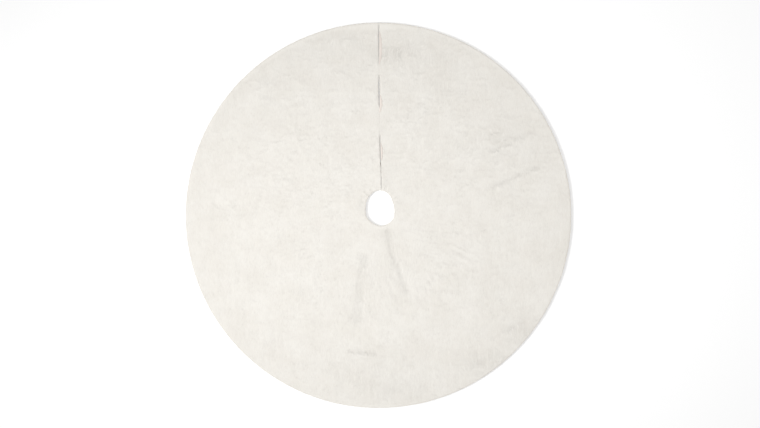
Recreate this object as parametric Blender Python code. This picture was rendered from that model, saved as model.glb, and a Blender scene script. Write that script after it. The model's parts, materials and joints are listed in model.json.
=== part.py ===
"""Round plush tree skirt lying flat, with a trunk hole, an opening slit and hook-and-loop tabs.

Metres, +Z up. The origin is on the floor under the middle of the skirt. The slit runs from the hole
to the rim along +Y. The cloth is one disc that folds: it is split into four quarters along its two
storage folds, the back fold along X and the half fold along Y, so that each fold can turn. The tabs
are sewn to the right of the slit, reach under it and close on pads on its left.
"""

from math import acos, atan2, cos, pi, sin, sqrt

import bmesh
import bpy
from mathutils import Matrix

# The collections that hold the parts and the cutters
PARTS = "tree_skirt"
CUTTERS = "tree_skirt_cutters"

# Outline of the skirt
SKIRT_RADIUS = 0.610
HOLE_WIDTH = 0.092
HOLE_LENGTH = 0.113
HOLE_CENTRE = (0.0044, 0.0228)
SLIT_GAP = 0.003
SLIT_CORNER = 0.006

# The cloth, and the rolled hem along the rim and around the hole
FUR_THICKNESS = 0.0072
LINING_THICKNESS = 0.0006
HEM_WIDTH = 0.010
EDGE_ROUNDING = 0.005
LINING_SLIT_INSET = 0.0015
LINING_CORNER = 0.004

# The closure tabs, evenly spread along the slit, and their shape across it
TAB_COUNT = 3
TAB_HOLE_MARGIN = 0.0707
TAB_RIM_MARGIN = 0.150
TAB_WIDTH = 0.035
TAB_THICKNESS = 0.0009
TAB_SEWN_END = 0.034
TAB_BEND_START = 0.008
TAB_BEND_END = -0.002
TAB_HINGE = -0.004
FLAP_LENGTH = 0.034

# The hook and loop pads, which face each other near the flap's free end
PAD_LENGTH = 0.024
PAD_WIDTH = 0.029
PAD_THICKNESS = 0.0009
PAD_END_MARGIN = 0.002

# The care label, sewn flat near the rim and past the tabs' free ends
LABEL_WIDTH = 0.030
LABEL_LENGTH = 0.050
LABEL_THICKNESS = 0.0003
LABEL_TAB_MARGIN = 0.012
LABEL_HEM_MARGIN = 0.020

# Clearance between neighbours, and between folded layers
CLEARANCE = 0.0003
FOLD_CLEARANCE = 0.0005

# Points along the round stretches
RIM_STEPS = 144
HOLE_STEPS = 48
CORNER_STEPS = 3
ROUNDING_RESOLUTION = 2

# The layers, from the floor up: flap, hook pad, loop pad, lining, fur
FLAP_BOTTOM = CLEARANCE
HOOK_BOTTOM = FLAP_BOTTOM + TAB_THICKNESS + CLEARANCE
LOOP_BOTTOM = HOOK_BOTTOM + PAD_THICKNESS + CLEARANCE
LINING_BOTTOM = LOOP_BOTTOM + PAD_THICKNESS + CLEARANCE
FUR_BOTTOM = LINING_BOTTOM + LINING_THICKNESS + CLEARANCE
FUR_TOP = FUR_BOTTOM + FUR_THICKNESS

# The flap and the pads on it, from the hinge to the left
FLAP_ROOT = TAB_HINGE - CLEARANCE
FLAP_END = FLAP_ROOT - FLAP_LENGTH
PAD_MIDDLE = FLAP_END + PAD_END_MARGIN + PAD_LENGTH / 2

# Each fold's axis lies just above the layers that close on each other
BACK_FOLD_HEIGHT = FUR_TOP + FOLD_CLEARANCE
HALF_FOLD_HEIGHT = 2 * BACK_FOLD_HEIGHT + FOLD_CLEARANCE

# Each quarter's side of the slit (along X) and of the back fold (along Y)
QUARTER_SIDES = {
    "front_right": (1, -1),
    "back_right": (1, 1),
    "front_left": (-1, -1),
    "back_left": (-1, 1),
}


def clear_scene():
    for found in list(bpy.data.objects):
        bpy.data.objects.remove(found, do_unlink=True)


def new_collection(name):
    collection = bpy.data.collections.new(name)
    bpy.context.scene.collection.children.link(collection)
    return collection


def new_material(name, colour, roughness):
    material = bpy.data.materials.new(name)
    material.use_nodes = True
    shader = material.node_tree.nodes["Principled BSDF"]
    shader.inputs["Base Color"].default_value = (*colour, 1)
    shader.inputs["Roughness"].default_value = roughness
    shader.inputs["Metallic"].default_value = 0
    return material


def ellipse_arc(centre, radii, start, end, steps):
    """Points along an ellipse, both ends included; start and end are in radians."""
    angles = [start + (end - start) * i / steps for i in range(steps + 1)]
    return [(centre[0] + radii[0] * cos(a), centre[1] + radii[1] * sin(a)) for a in angles]


def slit_disc_outline(rim_radius, hole_radii, half_gap, corner):
    """One loop: down the slit's left side, round the hole, up its right side and round the rim."""
    reach = half_gap + corner
    round_corner = (corner, corner)
    rim_corner_y = sqrt((rim_radius - corner) ** 2 - reach**2)
    rim_turn = atan2(rim_corner_y, reach)
    corner_path = (hole_radii[0] + corner, hole_radii[1] + corner)
    left_turn = acos((-reach - HOLE_CENTRE[0]) / corner_path[0])
    right_turn = acos((reach - HOLE_CENTRE[0]) / corner_path[0])
    left_hole_corner = (-reach, HOLE_CENTRE[1] + corner_path[1] * sin(left_turn))
    right_hole_corner = (reach, HOLE_CENTRE[1] + corner_path[1] * sin(right_turn))

    loop = ellipse_arc((-reach, rim_corner_y), round_corner, pi - rim_turn, 0, CORNER_STEPS)
    loop += ellipse_arc(left_hole_corner, round_corner, 0, left_turn - pi, CORNER_STEPS)
    loop += ellipse_arc(HOLE_CENTRE, hole_radii, left_turn, right_turn + 2 * pi, HOLE_STEPS)[1:-1]
    loop += ellipse_arc(right_hole_corner, round_corner, right_turn + pi, pi, CORNER_STEPS)
    loop += ellipse_arc((reach, rim_corner_y), round_corner, pi, rim_turn, CORNER_STEPS)
    rim = ellipse_arc((0, 0), (rim_radius, rim_radius), rim_turn, -pi - rim_turn, RIM_STEPS)
    return loop + rim[1:-1]


def hole_radii(growth):
    return HOLE_WIDTH / 2 + growth, HOLE_LENGTH / 2 + growth


def slab_mesh(name, loops, bottom, top, rounding=0.0):
    """A flat closed mesh between two heights; rounding grows it past its loops by that much."""
    curve = bpy.data.curves.new(name, "CURVE")
    curve.dimensions = "2D"
    curve.fill_mode = "BOTH"
    curve.extrude = (top - bottom) / 2 - rounding
    curve.bevel_depth = rounding
    curve.bevel_resolution = ROUNDING_RESOLUTION
    for loop in loops:
        spline = curve.splines.new("POLY")
        spline.points.add(len(loop) - 1)
        for point, (x, y) in zip(spline.points, loop):
            point.co = (x, y, 0, 1)
        spline.use_cyclic_u = True
    drawn = bpy.data.objects.new(name, curve)
    bpy.context.scene.collection.objects.link(drawn)
    depsgraph = bpy.context.evaluated_depsgraph_get()
    mesh = bpy.data.meshes.new_from_object(drawn.evaluated_get(depsgraph))
    bpy.data.objects.remove(drawn)

    form = bmesh.new()
    form.from_mesh(mesh)
    bmesh.ops.remove_doubles(form, verts=form.verts, dist=1e-6)
    bmesh.ops.recalc_face_normals(form, faces=form.faces)
    form.to_mesh(mesh)
    form.free()
    mesh.transform(Matrix.Translation((0, 0, (bottom + top) / 2)))
    mesh.name = name
    return mesh


def box_mesh(name, size):
    form = bmesh.new()
    bmesh.ops.create_cube(form, size=1, matrix=Matrix.Diagonal((*size, 1)))
    mesh = bpy.data.meshes.new(name)
    form.to_mesh(mesh)
    form.free()
    return mesh


def add_part(name, mesh, material, location=(0, 0, 0)):
    part = bpy.data.objects.new(name, mesh)
    part.location = location
    if not mesh.materials:
        mesh.materials.append(material)
    bpy.data.collections[PARTS].objects.link(part)
    return part


def add_cutter(name, mesh, location=(0, 0, 0)):
    cutter = bpy.data.objects.new(name, mesh)
    cutter.location = location
    cutter.hide_render = True
    cutter.display_type = "WIRE"
    bpy.data.collections[CUTTERS].objects.link(cutter)
    return cutter


def add_boolean(part, operation, cutter):
    modifier = part.modifiers.new(cutter.name, "BOOLEAN")
    modifier.operation = operation
    modifier.solver = "EXACT"
    modifier.object = cutter


def add_axis(name, location, parent=None):
    """An empty on a joint's axis, which carries the pieces that turn about it."""
    axis = bpy.data.objects.new(name, None)
    axis.location = location
    bpy.data.collections[PARTS].objects.link(axis)
    bpy.context.view_layer.update()
    if parent:
        hang(axis, parent)
    return axis


def hang(carried, axis):
    carried.parent = axis
    carried.matrix_parent_inverse = axis.matrix_world.inverted()


def fold_axes():
    """The empty that carries each quarter; the front right quarter lies still."""
    half_fold = add_axis("half_fold_axis", (0, 0, HALF_FOLD_HEIGHT))
    return {
        "front_right": None,
        "back_right": add_axis("back_fold_right_axis", (0, 0, BACK_FOLD_HEIGHT)),
        "front_left": half_fold,
        "back_left": add_axis("back_fold_left_axis", (0, 0, BACK_FOLD_HEIGHT), half_fold),
    }


def quarter_cutters():
    """A box round each quarter, which stops half a clearance short of both fold lines."""
    span = 1.1 * SKIRT_RADIUS
    cutters = {}
    for quarter, sides in QUARTER_SIDES.items():
        middle = [side * (span + CLEARANCE) / 2 for side in sides]
        mesh = box_mesh(f"{quarter}_cut", (span, span, span))
        cutters[quarter] = add_cutter(f"{quarter}_cut", mesh, (*middle, 0))
    return cutters


def add_fur(cutters, axes):
    """The plush face with its rounded edges; under it, only the rolled hem reaches the floor."""
    outline = slit_disc_outline(
        SKIRT_RADIUS - EDGE_ROUNDING,
        hole_radii(EDGE_ROUNDING),
        SLIT_GAP / 2 + EDGE_ROUNDING,
        SLIT_CORNER - EDGE_ROUNDING,
    )
    disc = slab_mesh("fur", [outline], 0, FUR_TOP, EDGE_ROUNDING)
    disc.set_sharp_from_angle(angle=pi / 6)

    inner_rim = SKIRT_RADIUS - HEM_WIDTH
    rim_loop = ellipse_arc((0, 0), (inner_rim, inner_rim), 0, 2 * pi, RIM_STEPS)[:-1]
    hole_loop = ellipse_arc(HOLE_CENTRE, hole_radii(HEM_WIDTH), 0, 2 * pi, HOLE_STEPS)[:-1]
    recess_mesh = slab_mesh("recess", [rim_loop, hole_loop], -FUR_BOTTOM, FUR_BOTTOM)
    recess = add_cutter("recess", recess_mesh)

    ivory_plush = new_material("ivory_plush", (0.855, 0.823, 0.768), 0.95)
    for quarter, axis in axes.items():
        fur = add_part(f"fur_{quarter}", disc, ivory_plush)
        add_boolean(fur, "INTERSECT", cutters[quarter])
        add_boolean(fur, "DIFFERENCE", recess)
        if axis:
            hang(fur, axis)


def add_lining(cutters, axes):
    """The flat backing cloth, inside the hems and just short of the slit."""
    inset = HEM_WIDTH + CLEARANCE
    outline = slit_disc_outline(
        SKIRT_RADIUS - inset,
        hole_radii(inset),
        SLIT_GAP / 2 + LINING_SLIT_INSET,
        LINING_CORNER,
    )
    disc = slab_mesh("lining", [outline], LINING_BOTTOM, LINING_BOTTOM + LINING_THICKNESS)
    cream_lining = new_material("cream_lining", (0.80, 0.76, 0.69), 0.85)
    for quarter, axis in axes.items():
        lining = add_part(f"lining_{quarter}", disc, cream_lining)
        add_boolean(lining, "INTERSECT", cutters[quarter])
        if axis:
            hang(lining, axis)


def tab_distances():
    """Each tab's distance from the middle of the skirt, the first one nearest the hole."""
    first = HOLE_CENTRE[1] + HOLE_LENGTH / 2 + TAB_HOLE_MARGIN
    last = SKIRT_RADIUS - TAB_RIM_MARGIN
    return [first + (last - first) * i / (TAB_COUNT - 1) for i in range(TAB_COUNT)]


def tab_anchor_profile():
    """The tab from its sewn end down under the slit to the hinge, as a loop in X and height."""
    sewn_bottom = LINING_BOTTOM - CLEARANCE - TAB_THICKNESS
    under_side = [
        (TAB_SEWN_END, sewn_bottom),
        (TAB_BEND_START, sewn_bottom),
        (TAB_BEND_END, FLAP_BOTTOM),
        (TAB_HINGE, FLAP_BOTTOM),
    ]
    top_side = [(x, height + TAB_THICKNESS) for x, height in reversed(under_side)]
    return under_side + top_side


def add_tabs(axes):
    """Each tab: its sewn part, the flap that peels open, and the two pads that hold it shut."""
    webbing = new_material("cream_webbing", (0.78, 0.74, 0.66), 0.8)
    hook_tape = new_material("hook_tape", (0.83, 0.82, 0.79), 0.55)
    loop_tape = new_material("loop_tape", (0.84, 0.82, 0.78), 0.9)

    anchor_mesh = slab_mesh("tab_anchor", [tab_anchor_profile()], -TAB_WIDTH / 2, TAB_WIDTH / 2)
    anchor_mesh.transform(Matrix.Rotation(pi / 2, 4, "X"))
    flap_mesh = box_mesh("hook_tab", (FLAP_LENGTH, TAB_WIDTH, TAB_THICKNESS))
    hook_mesh = box_mesh("hook_pad", (PAD_LENGTH, PAD_WIDTH, PAD_THICKNESS))
    loop_mesh = box_mesh("loop_pad", (PAD_LENGTH, PAD_WIDTH, PAD_THICKNESS))

    hinge_x = (TAB_HINGE + FLAP_ROOT) / 2
    flap_x = (FLAP_ROOT + FLAP_END) / 2
    for number, distance in enumerate(tab_distances(), start=1):
        hinge = add_axis(
            f"tab_{number}_axis", (hinge_x, distance, FLAP_BOTTOM), axes["back_right"]
        )
        anchor = add_part(f"tab_anchor_{number}", anchor_mesh, webbing, (0, distance, 0))
        flap = add_part(
            f"hook_tab_{number}",
            flap_mesh,
            webbing,
            (flap_x, distance, FLAP_BOTTOM + TAB_THICKNESS / 2),
        )
        hook = add_part(
            f"hook_pad_{number}",
            hook_mesh,
            hook_tape,
            (PAD_MIDDLE, distance, HOOK_BOTTOM + PAD_THICKNESS / 2),
        )
        loop = add_part(
            f"loop_pad_{number}",
            loop_mesh,
            loop_tape,
            (PAD_MIDDLE, distance, LOOP_BOTTOM + PAD_THICKNESS / 2),
        )
        hang(anchor, axes["back_right"])
        hang(flap, hinge)
        hang(hook, hinge)
        hang(loop, axes["back_left"])


def add_care_label(axes):
    """A blank label under the lining, left of the tabs and near the rim."""
    satin = new_material("white_satin", (0.88, 0.88, 0.87), 0.4)
    label_x = FLAP_END - LABEL_TAB_MARGIN - LABEL_WIDTH / 2
    label_y = SKIRT_RADIUS - HEM_WIDTH - LABEL_HEM_MARGIN - LABEL_LENGTH / 2
    label_z = LINING_BOTTOM - CLEARANCE - LABEL_THICKNESS / 2
    mesh = box_mesh("care_label", (LABEL_WIDTH, LABEL_LENGTH, LABEL_THICKNESS))
    label = add_part("care_label", mesh, satin, (label_x, label_y, label_z))
    hang(label, axes["back_left"])


clear_scene()
new_collection(PARTS)
new_collection(CUTTERS)
quarter_axes = fold_axes()
quarter_boxes = quarter_cutters()
add_fur(quarter_boxes, quarter_axes)
add_lining(quarter_boxes, quarter_axes)
add_tabs(quarter_axes)
add_care_label(quarter_axes)
bpy.context.view_layer.update()
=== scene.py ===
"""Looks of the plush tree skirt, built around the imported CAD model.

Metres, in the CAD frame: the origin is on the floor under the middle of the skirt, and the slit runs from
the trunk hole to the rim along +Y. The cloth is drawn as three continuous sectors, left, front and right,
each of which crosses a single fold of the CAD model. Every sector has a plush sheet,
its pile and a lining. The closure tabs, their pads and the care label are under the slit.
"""

import json
import math

import bpy
import numpy as np
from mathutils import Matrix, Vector


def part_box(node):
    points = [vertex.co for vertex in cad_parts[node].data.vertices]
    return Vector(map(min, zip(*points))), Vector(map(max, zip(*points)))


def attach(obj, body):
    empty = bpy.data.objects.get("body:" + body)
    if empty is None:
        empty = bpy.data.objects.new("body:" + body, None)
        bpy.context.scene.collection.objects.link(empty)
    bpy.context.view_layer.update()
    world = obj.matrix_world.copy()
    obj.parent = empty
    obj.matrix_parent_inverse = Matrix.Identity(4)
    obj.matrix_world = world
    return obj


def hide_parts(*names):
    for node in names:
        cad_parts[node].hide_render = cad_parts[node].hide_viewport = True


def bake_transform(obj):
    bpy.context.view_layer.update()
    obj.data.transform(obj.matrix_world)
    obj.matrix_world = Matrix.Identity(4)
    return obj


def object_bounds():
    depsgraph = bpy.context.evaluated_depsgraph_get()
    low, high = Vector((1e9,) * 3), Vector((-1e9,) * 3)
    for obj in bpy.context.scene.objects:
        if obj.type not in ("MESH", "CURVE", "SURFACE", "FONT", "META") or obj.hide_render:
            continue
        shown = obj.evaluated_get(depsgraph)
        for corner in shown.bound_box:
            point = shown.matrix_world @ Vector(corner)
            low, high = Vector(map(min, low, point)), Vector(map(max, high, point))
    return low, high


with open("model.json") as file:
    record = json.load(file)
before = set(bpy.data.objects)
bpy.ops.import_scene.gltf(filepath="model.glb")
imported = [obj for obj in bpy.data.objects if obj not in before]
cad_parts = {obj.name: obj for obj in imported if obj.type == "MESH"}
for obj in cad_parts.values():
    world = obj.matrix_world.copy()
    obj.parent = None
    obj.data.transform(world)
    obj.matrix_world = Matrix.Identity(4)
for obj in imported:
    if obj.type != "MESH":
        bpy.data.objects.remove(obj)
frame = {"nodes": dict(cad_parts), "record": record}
cad_low, cad_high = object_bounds()

# -------- sizes read from the frame
QUARTERS = ("front_right", "back_right", "front_left", "back_left")
RIM_RADIUS = (cad_high.x - cad_low.x) / 2
FUR_TOP = cad_high.z
LINING_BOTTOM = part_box("lining_front_right")[0].z
LINING_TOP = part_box("lining_front_right")[1].z
LAYER_GAP = 0.0003
FUR_UNDERSIDE = LINING_TOP + LAYER_GAP
SLIT_HALF_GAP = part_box("fur_back_right")[0].x

# -------- the cloth
HEM_WIDTH = 0.010
EDGE_ROUNDING = 0.005
BACKING_TOP = 0.0096
RELIEF_LIMIT = 0.0111
SETTLED_RELIEF = 0.0009
FINE_RELIEF = 0.00035
EDGE_THICKNESS = 0.0012
HEM_CLEARANCE = 0.0002
HEM_ROLL = 0.0014
HEM_ROLL_WIDTH = 0.003
SECTOR_TURNS = {"left": (225.0, 360.0), "front": (135.0, 225.0), "right": (0.0, 135.0)}
FOLD_TURNS = {"left": 270.0, "front": 180.0, "right": 90.0}
FINE_ENDS = {"left": ("high",), "front": (), "right": ("low",)}
FOLD_PITCH = 0.0013
FOLD_COLUMNS = 10
PLUSH_STEP = 0.44
PLUSH_ROWS = 96
LINING_STEP = 0.6
LINING_ROWS = 44
LINING_INSET = HEM_WIDTH + 0.0010
LINING_EDGE_STEPS = (0.0, 0.001, 0.004)
LINING_WRINKLE = 0.00012
SECTOR_BODIES = {
    "left": ("front_left", "back_left"),
    "front": ("front_left", "front_right"),
    "right": ("front_right", "back_right"),
}

# The slit wanders to the right towards the hole: how far along it, and how far to the right.
# It opens a little in four places: the middle, half the length and half the gap
SLIT_WANDER = (
    (0.079, 0.0090),
    (0.110, 0.0090),
    (0.207, 0.0055),
    (0.310, 0.0030),
    (0.403, 0.0015),
    (0.620, 0.0010),
)
SLIT_OPENINGS = (
    (0.545, 0.062, 0.0018),
    (0.392, 0.052, 0.0024),
    (0.205, 0.056, 0.0016),
    (0.112, 0.034, 0.0011),
)
SLIT_CLOSED = 0.0003
SLIT_WARP_REACH = 0.024
SLIT_EDGE_REACH = 0.012
SLIT_RIPPLE = 0.00010
SLIT_SHOULDER = 0.15

# The trunk hole is cut by hand, so its outline departs a little from the CAD ellipse:
# degrees from +X about its middle, share of the radius, and half width in degrees
HOLE_BULGES = (
    (-42, 0.100, 30),
    (24, -0.036, 20),
    (110, 0.022, 45),
    (-150, 0.045, 18),
    (-105, -0.020, 15),
)
HOLE_WARP_REACH = 0.030

# Soft creases in the cloth: the points of the line, its half width, and how deep it is
CREASES = (
    (((0.022, -0.036), (0.030, -0.053), (0.046, -0.126), (0.078, -0.214), (0.100, -0.262)), 0.0105, 0.0029),
    (
        ((-0.041, -0.110), (-0.045, -0.150), (-0.055, -0.221), (-0.065, -0.316), (-0.092, -0.350)),
        0.014,
        0.0028,
    ),
    (((-0.112, -0.425), (-0.050, -0.434), (0.005, -0.436)), 0.009, 0.0024),
    (((-0.300, -0.462), (-0.200, -0.466), (-0.080, -0.468)), 0.006, 0.0007),
    (((0.325, 0.077), (0.430, 0.120), (0.533, 0.166)), 0.009, 0.0018),
    (((0.340, 0.197), (0.420, 0.235), (0.502, 0.270)), 0.010, 0.0016),
    (((-0.047, 0.064), (-0.054, 0.036), (-0.053, 0.000)), 0.0035, 0.0010),
    (((-0.030, 0.196), (-0.014, 0.172), (0.000, 0.150)), 0.005, 0.0008),
    (((0.350, -0.400), (0.430, -0.345), (0.480, -0.330)), 0.008, 0.0010),
    (((-0.420, 0.405), (-0.330, 0.372), (-0.270, 0.330)), 0.008, 0.0009),
)
RIDGES = (
    (((-0.018, 0.201), (-0.006, 0.180), (0.006, 0.157)), 0.003, 0.0012),
    (((-0.290, 0.345), (-0.280, 0.311), (-0.255, 0.240), (-0.233, 0.181)), 0.007, 0.0012),
    (((-0.499, 0.280), (-0.460, 0.225), (-0.435, 0.181)), 0.009, 0.0010),
    (((0.100, 0.110), (0.140, 0.060), (0.190, -0.010)), 0.008, 0.0006),
    (((-0.400, 0.420), (-0.300, 0.400), (-0.260, 0.380)), 0.008, 0.0008),
)
# Places where the nap was brushed the other way: the middle, the half sizes, and how far it leans
BRUSHED_PATCHES = (
    ((0.060, 0.515), (0.080, 0.034), 0.240),
    ((0.370, 0.240), (0.110, 0.070), 0.110),
    ((0.200, 0.440), (0.110, 0.100), 0.080),
    ((-0.150, 0.500), (0.200, 0.080), 0.070),
    ((-0.340, 0.430), (0.050, 0.028), 0.110),
    ((-0.120, 0.568), (0.060, 0.022), 0.120),
    ((0.450, -0.370), (0.050, 0.055), 0.200),
    ((0.350, -0.470), (0.090, 0.040), 0.200),
    ((-0.040, -0.500), (0.130, 0.060), 0.090),
    ((0.100, -0.550), (0.160, 0.040), 0.100),
)
PUCKER_DEPTH = 0.0006
PUCKER_COUNT = 26

# -------- the pile
TUFT_SPACING = 0.00316
TUFT_WIDTH = (0.0030, 0.0046)
TUFT_LENGTH = (0.009, 0.014)
TUFT_RISE = (0.0002, 0.0006)
LOCK_ROUNDNESS = 0.09
PARTED_TILT = 0.15
CRUSHED_TILT = 0.075
STREAK_TILT = 0.035
PILE_OVERHANG = 0.0014
FRINGE_SPACING = 0.0024
FRINGE_ROWS = (0.0012, 0.0038, 0.0066)
FRINGE_JITTER = 0.0018
PILE_SEEDS = {"left": 11, "front": 12, "right": 13}
CROWN_SHARE = 0.25

# -------- facings, tabs, tapes and stitches
# Strips of turned edge beside the slit on its right, whose darker, pinker colour is painted shade: from, to,
# and how wide
SLIT_SHADE_STRIPS = ((0.476, 0.582, 0.0092), (0.324, 0.382, 0.0090), (0.172, 0.230, 0.0078))
TAB_NUMBERS = (1, 2, 3)
TAB_RISE_START = -0.002
TAB_RISE_END = 0.008
TAB_CORNER = 0.004
TAPE_CORNER = 0.002
RIB_PITCH = 0.0015
RIB_DEPTH = 0.00009
HOOK_PITCH = 0.00145
LOOP_PITCH = 0.00125
TAPE_BASE = 0.0003
STITCH_LENGTH = 0.0026
STITCH_PITCH = 0.0036
# along the stitch in half lengths, and out of the cloth in thread radii
STITCH_PATH = ((-1, -0.5), (-0.75, 0.5), (0, 0.7), (0.75, 0.5), (1, -0.5))
THREAD_RADIUS = 0.00018
HOOK_RADIUS = 0.00009
LOOP_RADIUS = 0.00007
LABEL_THICKNESS = 0.00022

# -------- picture
CAMERA_LENS = 90.0
SENSOR_WIDTH = 36.0
FRAME_WIDTH = 2.4065
CAMERA_CENTRE = (0.00475, 0.0041)
WHITE = (1.0, 1.0, 1.0, 1.0)
FLOOR_SIZE = 30.0
FLOOR_DROP = 0.0005
FLOOR_GLOW = 0.18
SURROUND_STRENGTH = 0.70
KEY_PLACE = (-3.1, -0.7, 2.9)
KEY_AIM = (-0.05, -0.07, 0.0)
KEY_SIZE = 1.6
KEY_POWER = 6.0
KEY_SPREAD = 38.0


# ======== small helpers
NOISE_CELLS = 512
NOISE_START = (71.3, 43.7)


def smoothstep(value):
    """0 below 0, 1 above 1 and smooth between."""
    t = np.clip(value, 0.0, 1.0)
    return t * t * (3.0 - 2.0 * t)


def value_noise(x, y, width, height, seed):
    """A smooth random field from -1 to 1, with patches about width by height."""
    cells = NOISE_CELLS
    lattice = np.random.default_rng(seed).uniform(-1.0, 1.0, (cells, cells))
    u = x / width + NOISE_START[0]
    v = y / height + NOISE_START[1]
    column = np.floor(u).astype(int)
    row = np.floor(v).astype(int)
    s = smoothstep(u - column)
    t = smoothstep(v - row)
    left, right = column % cells, (column + 1) % cells
    low, high = row % cells, (row + 1) % cells
    lower = lattice[left, low] * (1 - s) + lattice[right, low] * s
    upper = lattice[left, high] * (1 - s) + lattice[right, high] * s
    return lower * (1 - t) + upper * t


def new_mesh_object(name, points, faces, material):
    """An object from an array of points and an array of faces that all have as many corners."""
    mesh = bpy.data.meshes.new(name)
    mesh.vertices.add(len(points))
    mesh.vertices.foreach_set("co", np.ascontiguousarray(points, np.float32).ravel())
    mesh.loops.add(faces.size)
    mesh.loops.foreach_set("vertex_index", np.ascontiguousarray(faces, np.int32).ravel())
    mesh.polygons.add(len(faces))
    mesh.polygons.foreach_set("loop_start", np.arange(0, faces.size, faces.shape[1], dtype=np.int32))
    mesh.update(calc_edges=True)
    mesh.polygons.foreach_set("use_smooth", np.full(len(faces), True))
    mesh.materials.append(material)
    obj = bpy.data.objects.new(name, mesh)
    bpy.context.scene.collection.objects.link(obj)
    return obj


def lay_plan_uv(obj):
    """Lays a UV map from above, so that the cloth's colour stays on it when it folds."""
    mesh = obj.data
    points = np.zeros(len(mesh.vertices) * 3, np.float32)
    mesh.vertices.foreach_get("co", points)
    corners = np.zeros(len(mesh.loops), np.int32)
    mesh.loops.foreach_get("vertex_index", corners)
    plan = points.reshape(-1, 3)[corners, :2] / (2.1 * RIM_RADIUS) + 0.5
    layer = mesh.uv_layers.new(name="OFBake")
    layer.data.foreach_set("uv", np.ascontiguousarray(plan, np.float32).ravel())


def quads(*corners):
    """Four-sided faces, from four arrays of vertex numbers with one corner of every face in each."""
    return np.stack(corners, axis=-1).reshape(-1, 4)


# ======== the plan of the skirt
def hole_shape():
    """The centre and the half sizes of the CAD model's trunk hole."""
    low, high = frame["record"]["physics"]["openings"][0]["box_m"]
    centre = ((low[0] + high[0]) / 2, (low[1] + high[1]) / 2)
    meshes = [frame["nodes"]["fur_" + quarter].data for quarter in QUARTERS]
    points = np.array([vertex.co for mesh in meshes for vertex in mesh.vertices], float)
    across, along = np.abs(points[:, :2] - centre).T
    half_width = across[along < 0.005].min()
    half_length = along[across < 0.005].min()
    return centre, half_width, half_length


HOLE_CENTRE, HOLE_HALF_WIDTH, HOLE_HALF_LENGTH = hole_shape()


def hole_reach(turn):
    """How far the hole's edge is from the origin, in the direction turn clockwise from +Y."""
    a, b = HOLE_HALF_WIDTH, HOLE_HALF_LENGTH
    cx, cy = HOLE_CENTRE
    dx, dy = np.sin(turn), np.cos(turn)
    square = dx * dx / a**2 + dy * dy / b**2
    half = dx * cx / a**2 + dy * cy / b**2
    rest = cx * cx / a**2 + cy * cy / b**2 - 1.0
    return (half + np.sqrt(half * half - square * rest)) / square


def polar(x, y):
    """Distance from the origin, and turn clockwise from +Y, of points on the plan."""
    return np.hypot(x, y), np.arctan2(x, y) % (2 * math.pi)


def on_plan(reach, turn):
    """Points on the plan, at a distance from the origin and a turn clockwise from +Y."""
    return reach * np.sin(turn), reach * np.cos(turn)


def edge_distances(x, y):
    """Distances of points on the plan to the rim, to the hole and to the slit."""
    reach, turn = polar(x, y)
    to_rim = RIM_RADIUS - reach
    to_hole = reach - hole_reach(turn)
    to_slit = np.where(y > 0, np.abs(x) - SLIT_HALF_GAP, 1.0)
    return to_rim, to_hole, to_slit


def slit_half_gap(y):
    """Half the width of the slit at each distance along it."""
    gap = np.full_like(y, SLIT_CLOSED)
    for centre, half_length, half_gap in SLIT_OPENINGS:
        share = np.clip(1 - ((y - centre) / half_length) ** 2, 0.0, None)
        gap = np.maximum(gap, SLIT_CLOSED + (half_gap - SLIT_CLOSED) * share**0.4)
    return gap + SLIT_RIPPLE * value_noise(y * 0, y, 1.0, 0.006, 71)


def above_hole(y):
    """0 at the hole's middle and below, 1 above its upper edge."""
    return smoothstep((y - 0.02) / 0.05)


def hole_top(x):
    """How far the hole's upper edge is above its middle, at x."""
    across = np.clip((x - HOLE_CENTRE[0]) / HOLE_HALF_WIDTH, -0.92, 0.92)
    return HOLE_HALF_LENGTH * np.sqrt(1 - across**2)


def slit_slide(x, y):
    """How far to the right points of the CAD plan move, to follow the wandering slit and its gap."""
    places, offsets = zip(*SLIT_WANDER)
    near_slit = np.exp(-(np.abs(x) / SLIT_WARP_REACH) ** 2)
    slide = np.interp(y, places, offsets) * above_hole(y) * near_slit
    narrow = np.where(y > 0.03, slit_half_gap(y) - SLIT_HALF_GAP, 0.0)
    return slide + np.sign(x) * narrow * np.exp(-(np.abs(x) / SLIT_EDGE_REACH) ** 2)


def in_place(x, y):
    """Moves points of the CAD plan to where the hand-cut hole and the wandering slit put them."""
    slide = slit_slide(x, y)
    over_hole = np.exp(-np.clip(y - HOLE_CENTRE[1] - hole_top(x), 0, None) / HOLE_WARP_REACH)
    y = y + (hole_top(x + slide) - hole_top(x)) * over_hole * above_hole(y)
    x = x + slide
    away_x, away_y = x - HOLE_CENTRE[0], y - HOLE_CENTRE[1]
    distance = np.hypot(away_x, away_y) + 1e-9
    angle = np.arctan2(away_y, away_x)
    across, along = np.cos(angle) / HOLE_HALF_WIDTH, np.sin(angle) / HOLE_HALF_LENGTH
    ellipse = 1.0 / np.sqrt(across**2 + along**2)
    share = np.zeros(x.shape)
    for middle, height, half_width in HOLE_BULGES:
        apart = (np.degrees(angle) - middle + 180) % 360 - 180
        share = share + height * np.exp(-(apart / half_width) ** 2)
    fade = np.exp(-np.clip(distance - ellipse, 0, None) / HOLE_WARP_REACH)
    return x + away_x / distance * share * ellipse * fade, y + away_y / distance * share * ellipse * fade


# ======== how the cloth settles
SETTLE_RINGS = 26
SETTLE_SPOKES = 160
SETTLE_FRAMES = 30
SETTLE_CLOTH = {
    "quality": 6,
    "mass": 0.4,
    "tension_stiffness": 12,
    "compression_stiffness": 12,
    "shear_stiffness": 8,
    "bending_stiffness": 1.2,
    "air_damping": 2.0,
    "shrink_min": -0.012,
}


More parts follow.
